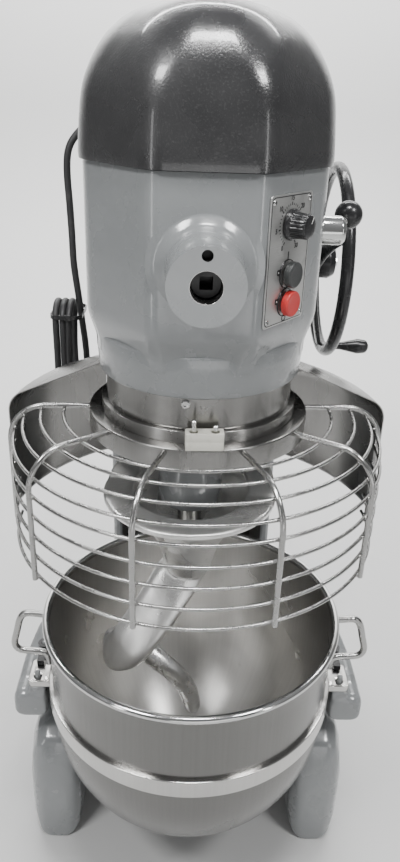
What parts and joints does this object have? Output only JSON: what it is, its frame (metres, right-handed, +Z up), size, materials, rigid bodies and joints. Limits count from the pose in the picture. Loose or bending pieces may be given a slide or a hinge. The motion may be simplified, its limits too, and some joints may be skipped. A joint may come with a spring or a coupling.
{
  "type": "commercial planetary dough mixer",
  "caption": "Floor-standing planetary mixer with a lift bowl, dough arm, swinging wire guard, attachment hub, switch plate and handwheel bowl lift.",
  "frame": {"origin": "on the floor, on the underside of the base casting, under the middle of the column", "axes": "+Z up, +X to the operator's right, -Y towards the operator, so the bowl stands on the -Y side of the column"},
  "size_m": [0.639, 0.9467, 1.425],
  "materials": {
    "grey_enamel": "gloss",
    "charcoal_enamel": "semi-gloss",
    "stainless": "satin, brushed",
    "polished_steel": "polished",
    "cast_aluminium": "satin, burnished",
    "machined_steel": "machined",
    "bronze": "machined",
    "black_plastic": "gloss",
    "dark_grey_plastic": "matte",
    "red_plastic": "satin",
    "white_nylon": "satin",
    "black_rubber": "matte"
  },
  "bodies": {
    "machine": {"base_casting": "grey_enamel", "column_casting": "grey_enamel", "column_rear_cover": "grey_enamel", "head_casting": "grey_enamel", "motor_cover": "charcoal_enamel", "motor_stator": "charcoal_enamel", "drip_collar": "stainless", "guard_track": "stainless", "rear_guard_left": "stainless", "rear_guard_right": "stainless", "collar_plug": "polished_steel", "plate_screw_1": "polished_steel", "plate_screw_2": "polished_steel", "plate_screw_3": "polished_steel", "plate_screw_4": "polished_steel", "switch_plate": "cast_aluminium", "slideway_left": "machined_steel", "slideway_right": "machined_steel", "planetary_bearing": "machined_steel", "hub_bearing": "machined_steel", "ring_gear": "machined_steel", "screw_upper_bearing": "bronze", "control_box": "black_plastic", "cord_gland": "black_rubber", "cord_upper": "black_rubber", "cord_hank": "black_rubber", "cord_tie": "black_rubber", "cord_tail": "black_rubber", "supply_plug": "black_rubber"},
    "wire_guard_body": {"wire_guard": "stainless", "guard_ring": "stainless", "guard_latch_block": "white_nylon", "latch_pin_left": "polished_steel", "latch_pin_right": "polished_steel"},
    "planetary_body": {"planetary_casting": "grey_enamel", "planetary_bevel_shaft": "machined_steel"},
    "agitator_body": {"agitator_shaft": "machined_steel", "agitator_pinion": "machined_steel", "dough_arm": "cast_aluminium"},
    "hub_shaft_body": {"hub_spindle": "machined_steel", "drive_gear": "machined_steel"},
    "motor_shaft_body": {"motor_rotor": "machined_steel", "motor_pinion": "machined_steel"},
    "shift_lever_body": {"shift_shaft": "polished_steel", "shift_knob": "black_plastic"},
    "timer_body": {"timer_knob": "black_plastic"},
    "start_button_body": {"start_button": "dark_grey_plastic"},
    "stop_button_body": {"stop_button": "red_plastic"},
    "handwheel_body": {"handwheel": "black_plastic", "wheel_shaft": "machined_steel"},
    "grip_body": {"handwheel_grip": "black_plastic"},
    "lift_screw_body": {"lift_screw": "machined_steel"},
    "carriage_body": {"bowl_support": "grey_enamel", "lift_nut": "bronze", "bowl": "stainless", "bowl_band": "stainless", "bowl_handle_left": "stainless", "bowl_handle_right": "stainless"},
    "clamp_left_body": {"bowl_clamp_left": "black_plastic"},
    "clamp_right_body": {"bowl_clamp_right": "black_plastic"}
  },
  "joints": [
    {"name": "guard_swing", "type": "hinge", "parent": "machine", "child": "wire_guard_body", "pos_m": [0, -0.445, 0.89], "axis": [0, 0, 1], "range_deg": [-4, 95]},
    {"name": "planetary_turn", "type": "hinge", "parent": "machine", "child": "planetary_body", "pos_m": [0, -0.445, 0.95], "axis": [0, 0, 1], "continuous": true},
    {"name": "agitator_turn", "type": "hinge", "parent": "planetary_body", "child": "agitator_body", "pos_m": [-0.00931, -0.50731, 0.75], "axis": [0, 0, 1], "continuous": true},
    {"name": "hub_turn", "type": "hinge", "parent": "machine", "child": "hub_shaft_body", "pos_m": [0, -0.5, 1.138], "axis": [0, 1, 0], "continuous": true},
    {"name": "motor_turn", "type": "hinge", "parent": "machine", "child": "motor_shaft_body", "pos_m": [0, -0.1, 1.276], "axis": [0, 1, 0], "continuous": true},
    {"name": "shift_tilt", "type": "hinge", "parent": "machine", "child": "shift_lever_body", "pos_m": [0.1804, -0.445, 1.1585], "axis": [1, 0, 0], "range_deg": [-30, 30]},
    {"name": "timer_turn", "type": "hinge", "parent": "machine", "child": "timer_body", "pos_m": [0.09898, -0.55803, 1.183], "axis": [-0.7771, 0.6293, 0], "range_deg": [0, 300]},
    {"name": "start_press", "type": "slide", "parent": "machine", "child": "start_button_body", "axis": [-0.7771, 0.6293, 0], "range_m": [0, 0.003], "stiffness_N_per_m": 500, "springref_m": -0.002},
    {"name": "stop_press", "type": "slide", "parent": "machine", "child": "stop_button_body", "axis": [-0.7771, 0.6293, 0], "range_m": [0, 0.003], "stiffness_N_per_m": 500, "springref_m": -0.002},
    {"name": "handwheel_turn", "type": "hinge", "parent": "machine", "child": "handwheel_body", "pos_m": [0.235, -0.125, 1.05], "axis": [1, 0, 0], "range_deg": [0, 3150]},
    {"name": "grip_spin", "type": "hinge", "parent": "handwheel_body", "child": "grip_body", "pos_m": [0.28, -0.125, 0.891], "axis": [1, 0, 0], "continuous": true},
    {"name": "screw_turn", "type": "hinge", "parent": "machine", "child": "lift_screw_body", "pos_m": [0, -0.125, 0.6], "axis": [0, 0, 1], "range_deg": [0, 3150]},
    {"name": "bowl_lift", "type": "slide", "parent": "machine", "child": "carriage_body", "axis": [0, 0, 1], "range_m": [0, 0.1751]},
    {"name": "clamp_left_swing", "type": "hinge", "parent": "carriage_body", "child": "clamp_left_body", "pos_m": [-0.268, -0.387, 0.38], "axis": [0, 0, 1], "range_deg": [-90, 0]},
    {"name": "clamp_right_swing", "type": "hinge", "parent": "carriage_body", "child": "clamp_right_body", "pos_m": [0.268, -0.387, 0.38], "axis": [0, 0, 1], "range_deg": [0, 90]}
  ],
  "couplings": [
    {"joint": "agitator_turn", "follows": "planetary_turn", "ratio": -3.1},
    {"joint": "hub_turn", "follows": "planetary_turn", "ratio": 1.4},
    {"joint": "motor_turn", "follows": "planetary_turn", "ratio": -5.04},
    {"joint": "screw_turn", "follows": "handwheel_turn", "ratio": 1},
    {"joint": "bowl_lift", "follows": "handwheel_turn", "m_per_rad": 0.0031831}
  ]
}
